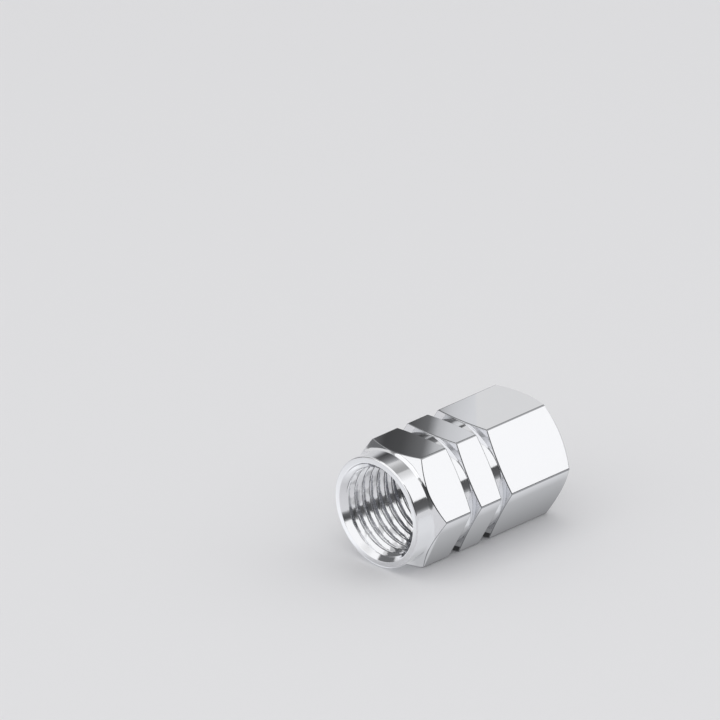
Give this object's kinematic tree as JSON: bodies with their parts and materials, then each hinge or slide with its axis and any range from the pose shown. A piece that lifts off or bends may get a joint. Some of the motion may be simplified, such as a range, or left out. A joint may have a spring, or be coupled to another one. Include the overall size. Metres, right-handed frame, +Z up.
{
  "type": "tyre valve cap",
  "caption": "Hexagonal polished metal cap that screws onto a tyre's valve stem, with grip grooves, a round collar at the threaded mouth and a rubber seal inside.",
  "frame": {"origin": "on the cap's axis where the thread of its bore begins, just inside the mouth", "axes": "+Y along the axis from the mouth to the crown, +Z up with the cap lying on one flat, the mouth towards -Y"},
  "size_m": [0.0106, 0.0162, 0.0092],
  "materials": {
    "polished_aluminium": "polished",
    "black_rubber": "matte"
  },
  "bodies": {
    "root": {"cap_shell": "polished_aluminium", "sealing_washer": "black_rubber"}
  },
  "joints": []
}
